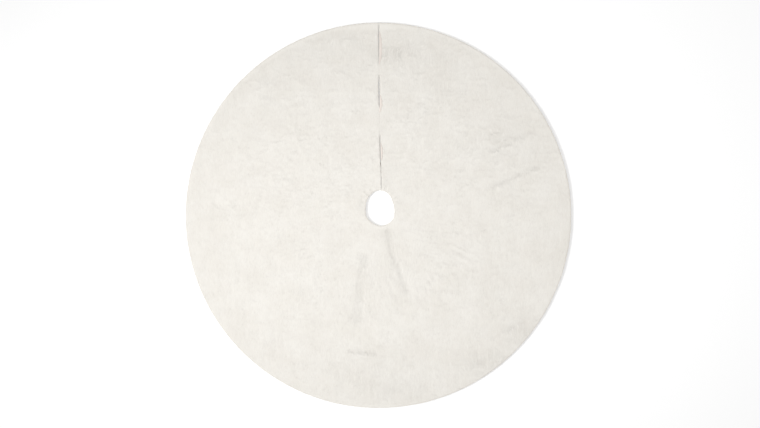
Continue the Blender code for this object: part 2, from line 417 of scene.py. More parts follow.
def settling_cloth(material):
    """A slightly bumpy disc of cloth above the floor: rings from the hole to the rim, by spokes."""
    turns = np.linspace(0.004, 2 * math.pi - 0.004, SETTLE_SPOKES)
    shares = np.linspace(0.0, 1.0, SETTLE_RINGS)
    start = hole_reach(turns)[None, :]
    reach = start + shares[:, None] * (RIM_RADIUS - start)
    x, y = on_plan(reach, turns)
    bumps = 0.020 + 0.006 * value_noise(x, y, 0.16, 0.16, 5) + 0.004 * value_noise(x, y, 0.07, 0.07, 6)
    points = np.stack([x, y, bumps], axis=2).reshape(-1, 3)
    index = np.arange(SETTLE_RINGS * SETTLE_SPOKES).reshape(SETTLE_RINGS, SETTLE_SPOKES)
    faces = quads(index[:-1, :-1], index[:-1, 1:], index[1:, 1:], index[1:, :-1])
    return new_mesh_object("settling_cloth", points, faces, material)


def settle_cloth():
    """Drops the cloth on a floor, and returns the heights where it comes to rest, rings by spokes."""
    plain = bpy.data.materials.new("settling")
    cloth = settling_cloth(plain)
    modifier = cloth.modifiers.new("Cloth", "CLOTH")
    for name, value in SETTLE_CLOTH.items():
        setattr(modifier.settings, name, value)
    modifier.collision_settings.use_self_collision = False
    modifier.collision_settings.distance_min = 0.002
    bpy.ops.mesh.primitive_plane_add(size=3.0, location=(0, 0, 0))
    floor = bpy.context.object
    floor.modifiers.new("Collision", "COLLISION")
    floor.collision.thickness_outer = 0.001
    scene = bpy.context.scene
    modifier.point_cache.frame_end = SETTLE_FRAMES
    for number in range(1, SETTLE_FRAMES + 1):
        scene.frame_set(number)
    evaluated = cloth.evaluated_get(bpy.context.evaluated_depsgraph_get())
    settled = np.zeros(SETTLE_RINGS * SETTLE_SPOKES * 3, np.float32)
    evaluated.data.vertices.foreach_get("co", settled)
    scene.frame_set(1)
    bpy.data.objects.remove(cloth)
    bpy.data.objects.remove(floor)
    bpy.data.materials.remove(plain)
    return settled.reshape(SETTLE_RINGS, SETTLE_SPOKES, 3)[:, :, 2].astype(float)


def pressed(heights):
    """The settled heights as relief from -1 to 1, pressed flat as a steamed plush is."""
    centred = heights - np.median(heights)
    return np.tanh(centred / (np.std(centred) + 1e-9))


SETTLED = pressed(settle_cloth())


def settled_relief(x, y):
    """The settled relief at points on the plan."""
    reach, turn = polar(x, y)
    start = hole_reach(turn)
    ring = np.clip((reach - start) / (RIM_RADIUS - start), 0, 1) * (SETTLE_RINGS - 1)
    spoke = np.clip(turn / (2 * math.pi), 0, 1) * (SETTLE_SPOKES - 1)
    low_ring = np.clip(ring.astype(int), 0, SETTLE_RINGS - 2)
    low_spoke = np.clip(spoke.astype(int), 0, SETTLE_SPOKES - 2)
    s, t = smoothstep(ring - low_ring), smoothstep(spoke - low_spoke)
    inner = SETTLED[low_ring, low_spoke] * (1 - t) + SETTLED[low_ring, low_spoke + 1] * t
    outer = SETTLED[low_ring + 1, low_spoke] * (1 - t) + SETTLED[low_ring + 1, low_spoke + 1] * t
    return inner * (1 - s) + outer * s


def line_profile(x, y, line, half_width):
    """1 on a line, falling to 0 over half_width to its sides and at its ends."""
    nearest = np.full(x.shape, 1e9)
    place = np.zeros(x.shape)
    count = len(line) - 1
    for number, (start, end) in enumerate(zip(line[:-1], line[1:])):
        ax, ay = start
        dx, dy = end[0] - ax, end[1] - ay
        t = np.clip(((x - ax) * dx + (y - ay) * dy) / (dx * dx + dy * dy), 0, 1)
        distance = np.hypot(x - ax - t * dx, y - ay - t * dy)
        closer = distance < nearest
        nearest = np.where(closer, distance, nearest)
        place = np.where(closer, (number + t) / count, place)
    ends = smoothstep(place / 0.18) * smoothstep((1 - place) / 0.18)
    return np.exp(-(nearest / half_width) ** 2) * ends


def parting(x, y):
    """How far the pile is parted by a crease at points on the plan, from 0 to 1."""
    parted = np.zeros(x.shape)
    for line, half_width, depth in CREASES:
        parted = parted + depth / 0.003 * line_profile(x, y, line, 1.25 * half_width)
    return np.clip(parted, 0, 1)


def shade_strip_width(y):
    """How wide the strip of turned edge to the right of the slit is, along the slit. Its darker colour is
    painted shade.
    """
    width = np.zeros(y.shape)
    for start, end, widest in SLIT_SHADE_STRIPS:
        share = np.clip((y - start) / (end - start), 0, 1)
        width = width + widest * np.sin(math.pi * share) ** 0.6 * (1 + 0.12 * np.sin(y * 420))
    return width


def edge_drop(y, to_rim, to_hole, to_slit):
    """How far the backing bends down at the rim, the hole and the slit, as a share."""
    inward = np.clip(1 - np.minimum(to_rim, to_hole) / EDGE_ROUNDING, 0, 1)
    beside = np.clip(1 - to_slit / EDGE_ROUNDING, 0, 1)
    opened = (slit_half_gap(y) - SLIT_CLOSED) / SLIT_HALF_GAP
    shoulder = SLIT_SHOULDER + (1 - SLIT_SHOULDER) * np.clip(opened, 0, 1)
    return np.maximum(1 - np.sqrt(1 - inward**2), shoulder * (1 - np.sqrt(1 - beside**2)))


def backing_top(x, y):
    """Height of the plush backing's upper face at points on the plan."""
    wobble_x = x + 0.004 * value_noise(x, y, 0.030, 0.030, 31)
    wobble_y = y + 0.004 * value_noise(x, y, 0.030, 0.030, 32)
    to_rim, to_hole, to_slit = edge_distances(x, y)
    relief = SETTLED_RELIEF * settled_relief(x, y) * smoothstep((to_hole - 0.020) / 0.220)
    relief = relief + FINE_RELIEF * value_noise(x, y, 0.022, 0.016, 33)
    relief = relief + 0.5 * FINE_RELIEF * value_noise(x, y, 0.010, 0.008, 34)
    for line, half_width, depth in CREASES:
        relief = relief - depth * line_profile(wobble_x, wobble_y, line, half_width)
    for line, half_width, height in RIDGES:
        relief = relief + height * line_profile(wobble_x, wobble_y, line, half_width)
    turn = np.arctan2(y - HOLE_CENTRE[1], x - HOLE_CENTRE[0])
    beside_hole = np.exp(-np.abs(to_hole - 0.012) / 0.014)
    relief = relief + PUCKER_DEPTH * above_hole(y) * np.cos(PUCKER_COUNT * turn) * beside_hole
    height = np.minimum(BACKING_TOP + relief, RELIEF_LIMIT)
    return height - (EDGE_ROUNDING - EDGE_THICKNESS) * edge_drop(y, to_rim, to_hole, to_slit)


def backing_underside(x, y):
    """Height of the plush sheet's lower face: the hems are turned down to the floor."""
    to_rim, to_hole, _ = edge_distances(x, y)
    edge = np.minimum(to_rim, to_hole)
    hem = edge < HEM_WIDTH
    rolled = HEM_ROLL * (1 - np.sqrt(1 - np.clip(1 - edge / HEM_ROLL_WIDTH, 0, 1) ** 2))
    return np.where(hem, HEM_CLEARANCE + rolled, FUR_UNDERSIDE)


# ======== sheets over a sector
EDGE_STEPS = (0.0, 0.0004, 0.0010, 0.0018, 0.0028, 0.0040, 0.0054, 0.0072, 0.0098, 0.0102, 0.0135)
SLIT_STEPS = (0.0005, 0.0011, 0.0018, 0.0027, 0.0037, 0.0048, 0.0062, 0.0080)
CLOSEST_COLUMNS = 0.00025


def sector_turns(side, step):
    """The turns of a sector's columns, about step degrees apart, closer together at its fold and the slit."""
    low, high = SECTOR_TURNS[side]
    turns = np.linspace(math.radians(low), math.radians(high), max(2, round((high - low) / step)) + 1)
    fold = math.radians(FOLD_TURNS[side])
    fine = np.array(SLIT_STEPS) / RIM_RADIUS
    extra = [fold + np.arange(-FOLD_COLUMNS, FOLD_COLUMNS + 1) * FOLD_PITCH / RIM_RADIUS]
    if "low" in FINE_ENDS[side]:
        extra.append(turns[0] + fine)
    if "high" in FINE_ENDS[side]:
        extra.append(turns[-1] - fine)
    joined = np.unique(np.concatenate([turns, *extra]).round(9))
    keep = np.concatenate([[True], np.diff(joined) > CLOSEST_COLUMNS / RIM_RADIUS])
    return joined[keep]


def sector_plan(turns, rows, rim_inset=0.0, hole_inset=0.0, edge_steps=EDGE_STEPS):
    """Points on the plan, rows from the hole to the rim by columns of turns."""
    steps = np.array(edge_steps)
    start = hole_reach(turns)[None, :] + hole_inset
    end = RIM_RADIUS - rim_inset
    inner = start + steps[:, None]
    outer = end - steps[::-1, None] + 0 * start
    middle = np.linspace(0, 1, rows + 2)[1:-1, None]
    between = inner[-1:] + middle * (outer[:1] - inner[-1:])
    return on_plan(np.vstack([inner, between, outer]), turns)


def keep_off_slit(x, y, turns, half_gap):
    """Moves the columns that lie on the slit's middle line to its sides."""
    side = np.where(turns < math.pi, 1.0, -1.0)[None, :]
    shift = np.where(y > 0, half_gap * np.exp(-np.abs(x) / 0.010), 0.0)
    return x + side * shift, y


def closed_sheet(name, x, y, top, bottom, material):
    """A closed mesh from two grids of heights over one grid of places."""
    rows, columns = x.shape
    upper = np.stack([x, y, top], axis=2).reshape(-1, 3)
    lower = np.stack([x, y, bottom], axis=2).reshape(-1, 3)
    index = np.arange(rows * columns).reshape(rows, columns)
    under = index + rows * columns
    faces = np.vstack(
        [
            quads(index[:-1, :-1], index[1:, :-1], index[1:, 1:], index[:-1, 1:]),
            quads(under[:-1, :-1], under[:-1, 1:], under[1:, 1:], under[1:, :-1]),
            quads(index[0, :-1], index[0, 1:], under[0, 1:], under[0, :-1]),
            quads(index[-1, 1:], index[-1, :-1], under[-1, :-1], under[-1, 1:]),
            quads(index[1:, 0], index[:-1, 0], under[:-1, 0], under[1:, 0]),
            quads(index[:-1, -1], index[1:, -1], under[1:, -1], under[:-1, -1]),
        ]
    )
    sheet = new_mesh_object(name, np.vstack([upper, lower]), faces, material)
    sheet.data.set_sharp_from_angle(angle=math.radians(55))
    return sheet


def fold_with(obj, side):
    """Bakes a sector piece's placement into its mesh, the same way for every side."""
    if side == "front":
        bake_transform(obj)
    else:
        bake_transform(obj)


# ======== materials
def principled(name, colour, roughness):
    """A material with its shader."""
    material = bpy.data.materials.new(name)
    material.use_nodes = True
    shader = material.node_tree.nodes["Principled BSDF"]
    shader.inputs["Base Color"].default_value = (*colour, 1.0)
    shader.inputs["Roughness"].default_value = roughness
    shader.inputs["Specular IOR Level"].default_value = 0.25
    return material, shader


def add_node(material, kind, **values):
    """A shader node, with its attributes set by name."""
    node = material.node_tree.nodes.new(kind)
    for name, value in values.items():
        setattr(node, name, value)
    return node


def join(material, output, target):
    """Links two sockets of a material."""
    material.node_tree.links.new(output, target)


def noise_of(material, vector, scale, detail, stretch=(1.0, 1.0, 1.0)):
    """A noise texture's value over a vector, stretched along its axes."""
    mapping = add_node(material, "ShaderNodeMapping")
    mapping.inputs["Scale"].default_value = stretch
    join(material, vector, mapping.inputs["Vector"])
    noise = add_node(material, "ShaderNodeTexNoise")
    noise.inputs["Scale"].default_value = scale
    noise.inputs["Detail"].default_value = detail
    join(material, mapping.outputs["Vector"], noise.inputs["Vector"])
    return noise.outputs["Fac"]


def tones(material, factor, dark, light, low=0.3, high=0.7):
    """A colour between dark and light, by a factor."""
    ramp = add_node(material, "ShaderNodeValToRGB")
    ramp.color_ramp.elements[0].position = low
    ramp.color_ramp.elements[0].color = (*dark, 1.0)
    ramp.color_ramp.elements[1].position = high
    ramp.color_ramp.elements[1].color = (*light, 1.0)
    join(material, factor, ramp.inputs["Fac"])
    return ramp.outputs["Color"]


def multiplied(material, first, second):
    """Two colours multiplied."""
    mix = add_node(material, "ShaderNodeMix", data_type="RGBA", blend_type="MULTIPLY")
    mix.inputs["Factor"].default_value = 1.0
    join(material, first, mix.inputs["A"])
    join(material, second, mix.inputs["B"])
    return mix.outputs["Result"]


def plush_material():
    """Ivory plush: warm white, with fine streaks along the nap and faint cloudy patches."""
    material, shader = principled("ivory_plush", (0.90, 0.87, 0.81), 0.92)
    place = add_node(material, "ShaderNodeUVMap", uv_map="OFBake").outputs["UV"]
    streaks = tones(
        material, noise_of(material, place, 190, 2, (2.6, 0.5, 1)), (0.955, 0.950, 0.940), (1.0, 1.0, 1.0)
    )
    patches = tones(
        material, noise_of(material, place, 16, 3), (0.902, 0.871, 0.814), (0.932, 0.905, 0.852), 0.35, 0.65
    )
    join(material, multiplied(material, patches, streaks), shader.inputs["Base Color"])
    shader.inputs["Sheen Weight"].default_value = 0.12
    shader.inputs["Sheen Roughness"].default_value = 0.5
    shader.inputs["Sheen Tint"].default_value = (1.0, 0.98, 0.94, 1.0)
    return material


def woven_material(name, dark, light, threads, roughness=0.8):
    """A fine plain weave over the part's own coordinates, threads to the metre."""
    material, shader = principled(name, light, roughness)
    place = add_node(material, "ShaderNodeTexCoord").outputs["Object"]
    across = add_node(material, "ShaderNodeTexWave", wave_type="BANDS", bands_direction="X")
    along = add_node(material, "ShaderNodeTexWave", wave_type="BANDS", bands_direction="Y")
    for wave in (across, along):
        wave.inputs["Scale"].default_value = threads / 3.2
        wave.inputs["Distortion"].default_value = 0.6
        join(material, place, wave.inputs["Vector"])
    weave = add_node(material, "ShaderNodeMath", operation="MULTIPLY")
    join(material, across.outputs["Fac"], weave.inputs[0])
    join(material, along.outputs["Fac"], weave.inputs[1])
    cloudy = tones(material, noise_of(material, place, 9, 3), (0.94, 0.94, 0.94), (1.0, 1.0, 1.0))
    colour = tones(material, weave.outputs["Value"], dark, light, 0.0, 0.6)
    join(material, multiplied(material, colour, cloudy), shader.inputs["Base Color"])
    bump = add_node(material, "ShaderNodeBump")
    bump.inputs["Strength"].default_value = 0.35
    bump.inputs["Distance"].default_value = 0.0002
    join(material, weave.outputs["Value"], bump.inputs["Height"])
    join(material, bump.outputs["Normal"], shader.inputs["Normal"])
    return material


PLUSH = plush_material()
LINING = woven_material("cream_lining", (0.74, 0.70, 0.62), (0.88, 0.85, 0.78), 900)
WEBBING = woven_material("cream_webbing", (0.66, 0.61, 0.52), (0.84, 0.80, 0.71), 1400)
HOOK_TAPE = woven_material("hook_tape", (0.70, 0.67, 0.60), (0.86, 0.84, 0.78), 1600, 0.45)
LOOP_TAPE = woven_material("loop_tape", (0.74, 0.70, 0.63), (0.90, 0.87, 0.81), 700, 0.95)
SATIN = woven_material("white_satin", (0.84, 0.84, 0.83), (0.93, 0.93, 0.92), 2600, 0.35)
# the turned edge's darker, pinker weave is painted shade beside the slit
SHADE_PAINTED_FACING = woven_material("turned_edge_painted_shade", (0.84, 0.765, 0.705), (0.90, 0.825, 0.765), 1200, 0.9)
THREAD = woven_material("sewing_thread", (0.78, 0.74, 0.66), (0.92, 0.89, 0.82), 3000, 0.6)


# ======== plush, pile and lining
def add_plush(side):
    """The plush sheet of a sector, with its rolled hems."""
    turns = sector_turns(side, PLUSH_STEP)
    x, y = sector_plan(turns, PLUSH_ROWS)
    x, y = keep_off_slit(x, y, turns, SLIT_HALF_GAP)
    top = backing_top(x, y)
    bottom = backing_underside(x, y)
    x, y = in_place(x, y)
    plush = closed_sheet("plush_" + side, x, y, top, bottom, PLUSH)
    lay_plan_uv(plush)
    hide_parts(*["fur_" + quarter for quarter in SECTOR_BODIES[side]])
    fold_with(plush, side)
    return plush


def clear_of_shade_strips(x, y):
    """Which points on the plan aren't on the strips of turned edge whose darker colour is painted shade."""
    return (x < 0) | (y < 0) | (x - SLIT_HALF_GAP > shade_strip_width(y) + 0.0004)


def tuft_roots(side, rng):
    """Jittered places for the tufts of a sector, evenly spread over its plan."""
    steps = np.arange(-RIM_RADIUS, RIM_RADIUS, TUFT_SPACING)
    x, y = np.meshgrid(steps, steps * 0.97)
    x = x + np.where(np.arange(len(steps))[:, None] % 2, TUFT_SPACING / 2, 0.0)
    x = (x + rng.uniform(-0.5, 0.5, x.shape) * TUFT_SPACING).ravel()
    y = (y + rng.uniform(-0.5, 0.5, y.shape) * TUFT_SPACING).ravel()
    _, turn = polar(x, y)
    low, high = np.radians(SECTOR_TURNS[side])
    to_rim, to_hole, to_slit = edge_distances(x, y)
    inside = (np.minimum(to_rim, to_hole) > 0.0006) & (to_slit > 0.0003) & (turn >= low) & (turn < high)
    inside &= clear_of_shade_strips(x, y)
    return x[inside], y[inside]


def crushed_pile(x, y):
    """How crushed the pile is, from 0 to 1: small flat patches that lie across, mostly in the upper half."""
    patches = value_noise(x, y, 0.030, 0.009, 43) + 0.8 * value_noise(x, y, 0.013, 0.005, 44)
    return smoothstep((patches - 0.20) / 0.6) * (0.25 + 0.75 * smoothstep((y + 0.15) / 0.35))


def brushed_pile(x, y):
    """How far the nap leans to the right where it was brushed the other way."""
    lean = np.zeros(x.shape)
    for (middle_x, middle_y), (half_width, half_height), amount in BRUSHED_PATCHES:
        across, along = (x - middle_x) / half_width, (y - middle_y) / half_height
        lean = lean + amount * np.exp(-(across**2) - along**2)
    return lean * (1 + 0.5 * value_noise(x, y, 0.025, 0.018, 46))


def combed_streaks(x, y):
    """The comb marks down the nap, from -1 to 1."""
    return value_noise(x, y, 0.0042, 0.034, 42)


def nap_direction(x, y, rng):
    """The way each tuft lies, as an angle from +X. The nap runs down the plan, with crushed patches above."""
    angle = -math.pi / 2 + 0.30 * value_noise(x, y, 0.16, 0.16, 41)
    turned = np.where(value_noise(x, y, 0.06, 0.03, 45) > 0, 1.2, -1.2)
    return angle + 0.45 * combed_streaks(x, y) + turned * crushed_pile(x, y) + rng.normal(0, 0.16, x.shape)


def hold_inside(x, y, side_of_slit):
    """Keeps tuft tips from reaching over the rim, into the hole or across the slit."""
    reach, turn = polar(x, y)
    held = np.clip(reach, hole_reach(turn) - PILE_OVERHANG, RIM_RADIUS + PILE_OVERHANG)
    x = x * held / reach
    y = y * held / reach
    beside = side_of_slit * x
    keep = SLIT_HALF_GAP - 0.0007
    x = np.where((y > 0) & (beside < keep), side_of_slit * keep, x)
    return x, y


def fringe_roots(side, rng):
    """Places and directions of the tufts that lean out over a sector's rim, hole and slit edges."""
    low, high = np.radians(SECTOR_TURNS[side])
    x, y, angle = [], [], []
    for distance in FRINGE_ROWS:
        for reach_of, sign in ((lambda turn: RIM_RADIUS + 0 * turn, -1.0), (hole_reach, 1.0)):
            middle = float(np.mean(reach_of(np.linspace(low, high, 50))))
            count = int((high - low) * middle / FRINGE_SPACING)
            turn = low + (high - low) * (np.arange(count) + rng.uniform(0.1, 0.9, count)) / count
            reach = reach_of(turn) + sign * (distance + rng.uniform(0, FRINGE_JITTER, count))
            x.append(reach * np.sin(turn))
            y.append(reach * np.cos(turn))
            angle.append(np.arctan2(-sign * np.cos(turn), -sign * np.sin(turn)))
    if side != "front":
        away = 1.0 if side == "right" else -1.0
        start = float(hole_reach(np.array([0.0]))[0])
        for distance in FRINGE_ROWS[:2]:
            count = int((RIM_RADIUS - start) / FRINGE_SPACING)
            y.append(start + 0.002 + (RIM_RADIUS - start - 0.004) * rng.uniform(0, 1, count))
            x.append(away * (SLIT_HALF_GAP + distance + rng.uniform(0, FRINGE_JITTER, count)))
            angle.append(np.where(away > 0, math.pi, 0.0) + rng.uniform(-0.9, 0.3, count) * -away)
    x, y, angle = (np.concatenate(part) for part in (x, y, angle))
    angle = angle + rng.normal(0, 0.30, len(angle))
    clear = clear_of_shade_strips(x, y)
    return x[clear], y[clear], angle[clear]


def lock_points(x, y, angle, length, width, rise):
    """Four corners for each tuft: its root's left and right, a crown a little way along, and its tip."""
    side_of_slit = np.where(x < 0, -1.0, 1.0)
    tip_x, tip_y = hold_inside(x + length * np.cos(angle), y + length * np.sin(angle), side_of_slit)
    root_z = backing_top(x, y)
    tip_z = np.minimum(backing_top(tip_x, tip_y) + rise, FUR_TOP - 0.0001)
    across_x, across_y = -np.sin(angle) * width / 2, np.cos(angle) * width / 2
    left = hold_inside(x + across_x, y + across_y, side_of_slit)
    right = hold_inside(x - across_x, y - across_y, side_of_slit)
    crown = x + CROWN_SHARE * (tip_x - x), y + CROWN_SHARE * (tip_y - y)
    on_line = (1 - CROWN_SHARE) * root_z + CROWN_SHARE * tip_z
    crown_z = np.maximum(root_z + 0.35 * rise, on_line) + 0.0002
    corners = ((left, root_z - 0.0003), (right, root_z - 0.0003), (crown, crown_z), ((tip_x, tip_y), tip_z))
    points = [np.stack([*in_place(*place), z], axis=1) for place, z in corners]
    return np.stack(points, axis=1).reshape(-1, 3)


def lock_normals(x, y, angle):
    """The way each tuft's four corners face: almost up, so that the pile shades as one soft surface."""
    tilt = PARTED_TILT * parting(x, y) + CRUSHED_TILT * crushed_pile(x, y)
    tilt = tilt + STREAK_TILT * combed_streaks(x, y) + brushed_pile(x, y)
    leaning = np.stack([np.cos(angle), np.sin(angle), 0 * angle], axis=1)
    sideways = np.stack([-np.sin(angle), np.cos(angle), 0 * angle], axis=1)
    lift = np.stack([tilt, 0 * tilt, 0 * tilt + 1], axis=1)
    normals = np.stack(
        [
            lift + LOCK_ROUNDNESS * sideways,
            lift - LOCK_ROUNDNESS * sideways,
            lift - 0.3 * LOCK_ROUNDNESS * leaning,
            lift + 0.6 * LOCK_ROUNDNESS * leaning,
        ],
        axis=1,
    ).reshape(-1, 3)
    return normals / np.linalg.norm(normals, axis=1)[:, None]


def add_pile(side):
    """The tufts of a sector: slim leaning locks that overlap like combed pile."""
    rng = np.random.default_rng(PILE_SEEDS[side])
    x, y = tuft_roots(side, rng)
    angle = nap_direction(x, y, rng)
    fringe_x, fringe_y, fringe_angle = fringe_roots(side, rng)
    x, y = np.concatenate([x, fringe_x]), np.concatenate([y, fringe_y])
    angle = np.concatenate([angle, fringe_angle])
    count = len(x)
    clump = value_noise(x, y, 0.0045, 0.026, 51)
    length = rng.uniform(*TUFT_LENGTH, count) * (1 + 0.15 * clump)
    width = rng.uniform(*TUFT_WIDTH, count)
    low, high = TUFT_RISE
    patch = value_noise(x, y, 0.020, 0.014, 52)
    share = rng.uniform(0, 1, count) * 0.5 + 0.25 + 0.3 * clump + 0.25 * patch
    rise = low + (high - low) * np.clip(share, 0, 1)
    points = lock_points(x, y, angle, length, width, rise)
    corners = np.array([[0, 2, 3], [2, 1, 3], [1, 0, 3], [0, 1, 2]])
    faces = (4 * np.arange(count)[:, None, None] + corners[None]).reshape(-1, 3)
    pile = new_mesh_object("pile_" + side, points, faces, PLUSH)
    pile.data.normals_split_custom_set_from_vertices(lock_normals(x, y, angle))
    lay_plan_uv(pile)
    fold_with(pile, side)
    return pile


def add_lining(side):
    """The woven lining of a sector, sewn inside the hems."""
    turns = sector_turns(side, LINING_STEP)
    x, y = sector_plan(turns, LINING_ROWS, LINING_INSET, LINING_INSET, LINING_EDGE_STEPS)
    x, y = keep_off_slit(x, y, turns, 2 * SLIT_HALF_GAP)
    wrinkle = LINING_WRINKLE * value_noise(x, y, 0.05, 0.03, 61)
    x, y = in_place(x, y)
    top, bottom = LINING_TOP + wrinkle, LINING_BOTTOM + wrinkle
    lining = closed_sheet("lining_cloth_" + side, x, y, top, bottom, LINING)
    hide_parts(*["lining_" + quarter for quarter in SECTOR_BODIES[side]])
    fold_with(lining, side)
    return lining


def add_lining_stitches(side):
    """The seam that holds a sector's lining to the hems, seen from below."""
    low, high = np.radians(SECTOR_TURNS[side])
    places, angles = [], []
    inset = HEM_WIDTH + 0.004
    for reach_of in (lambda turn: RIM_RADIUS - inset + 0 * turn, lambda turn: hole_reach(turn) + inset):
        middle = float(np.mean(reach_of(np.linspace(low, high, 50))))
        count = int((high - low) * middle / STITCH_PITCH)
        turn = low + (high - low) * (np.arange(count) + 0.5) / count
        reach = reach_of(turn)
        x, y = in_place(*on_plan(reach, turn))
        places.append(np.stack([x, y, 0 * x + LINING_BOTTOM], axis=1))
        angles.append(-turn)
    seam = add_stitches("lining_seam_" + side, np.vstack(places), np.concatenate(angles))
    fold_with(seam, side)
    return seam


def add_shade_strip(number):
    """A strip of the turned edge, rolled up beside the slit, whose darker, pinker weave is painted shade."""
    start, end, width = SLIT_SHADE_STRIPS[number - 1]
    along = np.linspace(start, end, 40)[None, :]
    across = np.linspace(0.0, 1.0, 9)[:, None]
    belly = shade_strip_width(along) / width
    x = SLIT_HALF_GAP - 0.0004 + across * width * np.clip(belly, 0.02, None)
    y = along + 0 * across
    roll = np.sqrt(np.clip(1 - (2 * across - 1) ** 2, 0.0, 1)) + 0 * along
    raised = backing_top(x + 0.0035, y) + 0.0002 + 0.0010 * roll * np.clip(belly, 0, 1)
    top = np.minimum(raised, FUR_TOP - 0.0001)
    x, y = in_place(x, y)
    shaded_strip = closed_sheet(f"slit_shade_strip_{number}", x, y, top, top - EDGE_THICKNESS, SHADE_PAINTED_FACING)
    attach(shaded_strip, "back_right")
    return shaded_strip


def build_cloth():
    """Every sector's plush, pile and lining, and the strips beside the slit whose darker colour is painted
    shade.
    """
    shade_strips = [add_shade_strip(number + 1) for number in range(len(SLIT_SHADE_STRIPS))]
    for side in SECTOR_TURNS:
        plush = add_plush(side)
        pile = add_pile(side)
        lining = add_lining(side)
        seam = add_lining_stitches(side)


# ======== closure tabs and care label
def tube_along(path, radius):
    """The points and faces of one square tube along a path of (along, up) points."""
    path = np.array(path, float)
    ahead = np.gradient(path, axis=0)
    ahead /= np.linalg.norm(ahead, axis=1)[:, None]
    rings = []
    for corner in range(4):
        swing = math.pi / 4 + corner * math.pi / 2
        offset = radius * math.cos(swing)
        along, up = path[:, 0] - ahead[:, 1] * offset, path[:, 1] + ahead[:, 0] * offset
        rings.append(np.stack([along, np.full(len(path), radius * math.sin(swing)), up], axis=1))
    tube = np.stack(rings, axis=1).reshape(-1, 3)
    index = np.arange(len(tube)).reshape(-1, 4)
    faces = [index[0, ::-1], index[-1]]
    for near, far in zip(index[:-1], index[1:]):
        for corner in range(4):
            after = (corner + 1) % 4
            faces.append([near[corner], near[after], far[after], far[corner]])
    return tube, np.array(faces)


def scattered_tubes(name, places, angles, path, radius, material):
    """Many copies of one fine tube, each at its place and turned by its angle about Z."""
    tube, faces = tube_along(path, radius)
    c, s = np.cos(angles)[:, None], np.sin(angles)[:, None]
    x = places[:, :1] + c * tube[None, :, 0] - s * tube[None, :, 1]
    y = places[:, 1:2] + s * tube[None, :, 0] + c * tube[None, :, 1]
    z = places[:, 2:] + 0 * c + tube[None, :, 2]
    points = np.stack([x, y, z], axis=2).reshape(-1, 3)
    copies = (np.arange(len(places))[:, None, None] * len(tube) + faces[None]).reshape(-1, 4)
    return new_mesh_object(name, points, copies, material)


def add_stitches(name, places, angles):
    """Stitches that bulge down from the underside, one at each place."""
    path = np.array(STITCH_PATH) * (STITCH_LENGTH / 2, -THREAD_RADIUS)
    return scattered_tubes(name, places, angles, path, THREAD_RADIUS, THREAD)


def stitched_line(start, end, height):
    """Places and angles of stitches along a straight line."""
    (x0, y0), (x1, y1) = start, end
    count = max(2, round(math.hypot(x1 - x0, y1 - y0) / STITCH_PITCH))
    share = (np.arange(count) + 0.5) / count
    places = np.stack([x0 + (x1 - x0) * share, y0 + (y1 - y0) * share, np.full(count, height)], axis=1)
    return places, np.full(count, math.atan2(y1 - y0, x1 - x0))


def stitched_lines(name, lines, height):
    """Stitches along several straight lines, as one piece."""
    places, angles = zip(*[stitched_line(start, end, height) for start, end in lines])
    return add_stitches(name, np.vstack(places), np.concatenate(angles))


def rectangle_lines(low, high, inset):
    """The four sides of a box's plan, inset."""
    x0, y0, x1, y1 = low.x + inset, low.y + inset, high.x - inset, high.y - inset
    return [((x0, y0), (x1, y0)), ((x1, y0), (x1, y1)), ((x1, y1), (x0, y1)), ((x0, y1), (x0, y0))]


def across_tape(half_width, edge_steps, inner_step, count):
    """Places across a tape from its middle, closer together at its edges."""
    edge = np.array(edge_steps)
    inner = np.linspace(inner_step, 2 * half_width - inner_step, count)
    return np.concatenate([edge, inner, 2 * half_width - edge[::-1]]) - half_width


def corner_inset(side, half_width, corner):
    """How far a tape's rounded corners are set back, at each place across it."""
    into_corner = np.clip(np.abs(side) - (half_width - corner), 0, corner) / corner
    return corner * (1 - np.sqrt(1 - into_corner**2))


def add_webbing(number):
    """A closure tab's ribbed webbing, sewn on at the right and free at its rounded left end."""
    anchor_low, anchor_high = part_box(f"tab_anchor_{number}")
    flap_low, flap_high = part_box(f"hook_tab_{number}")
    middle = (flap_low.y + flap_high.y) / 2
    half_width = (flap_high.y - flap_low.y) / 2
    thickness = flap_high.z - flap_low.z
    side = across_tape(half_width, (0, 0.0004, 0.0011), 0.002, 14)
    start = flap_low.x + corner_inset(side, half_width, TAB_CORNER)
    share = np.linspace(0, 1, int((anchor_high.x - flap_low.x) / RIB_PITCH * 4) + 1)[:, None]
    x = start[None, :] + share * (anchor_high.x - start[None, :])
    y = middle + side[None, :] + 0 * share
    lift = smoothstep((x - TAB_RISE_START) / (TAB_RISE_END - TAB_RISE_START))
    bottom = flap_low.z + lift * (anchor_high.z - thickness - flap_low.z)
    wave_x, wave_y = np.cos(2 * math.pi * x / RIB_PITCH), np.cos(2 * math.pi * y / RIB_PITCH)
    rib = RIB_DEPTH * (1 + wave_x) * (0.75 + 0.25 * wave_y)
    thin = 0.00022 * np.exp(-((half_width - np.abs(side[None, :])) / 0.0007) ** 2)
    top = bottom + thickness - rib - thin
    webbing = closed_sheet(f"tab_webbing_{number}", x, y, top, bottom + 0.5 * rib + thin, WEBBING)
    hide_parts(f"tab_anchor_{number}", f"hook_tab_{number}")
    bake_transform(webbing)
    near, far = TAB_RISE_END + 0.005, anchor_high.x - 0.004
    low, high = anchor_low.y + 0.004, anchor_high.y - 0.004
    lines = [
        *rectangle_lines(Vector((TAB_RISE_END + 0.001, anchor_low.y, 0)), anchor_high, 0.003),
        ((near, low), (far, high)),
        ((near, high), (far, low)),
    ]
    anchor_seam = stitched_lines(f"tab_seam_{number}", lines, anchor_high.z - thickness)
    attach(anchor_seam, "back_right")
    pad_low, pad_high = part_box(f"hook_pad_{number}")
    lines = rectangle_lines(pad_low, pad_high, 0.0014)
    flap_seam = stitched_lines(f"hook_seam_{number}", lines, flap_low.z + 0.0001)
    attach(flap_seam, f"tab_{number}")


